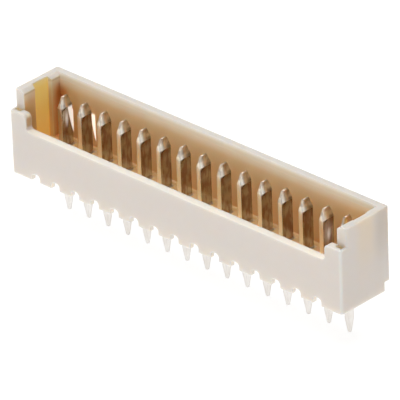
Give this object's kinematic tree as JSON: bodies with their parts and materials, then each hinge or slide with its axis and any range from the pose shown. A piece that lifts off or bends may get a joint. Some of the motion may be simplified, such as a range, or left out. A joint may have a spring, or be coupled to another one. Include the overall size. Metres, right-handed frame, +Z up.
{
  "type": "shrouded pin header",
  "caption": "Straight shrouded pin header for a circuit board: a moulded housing, open at the top with a low front wall, around one row of flat plated contacts.",
  "frame": {"origin": "middle of the contact row, on the face of the circuit board that the header stands on", "axes": "+X along the contact row, +Y from the low front wall to the full back wall, +Z up, out of the open top; the solder tails point to -Z"},
  "size_m": [0.0206, 0.0032, 0.0065],
  "materials": {
    "housing_nylon": "matte, natural off-white nylon, slightly translucent where it is thin",
    "contact_plating": "bright tin plating over a copper alloy"
  },
  "bodies": {
    "root": {"housing": "housing_nylon", "terminal_01": "contact_plating", "terminal_02": "contact_plating", "terminal_03": "contact_plating", "terminal_04": "contact_plating", "terminal_05": "contact_plating", "terminal_06": "contact_plating", "terminal_07": "contact_plating", "terminal_08": "contact_plating", "terminal_09": "contact_plating", "terminal_10": "contact_plating", "terminal_11": "contact_plating", "terminal_12": "contact_plating", "terminal_13": "contact_plating", "terminal_14": "contact_plating", "terminal_15": "contact_plating"}
  },
  "joints": []
}
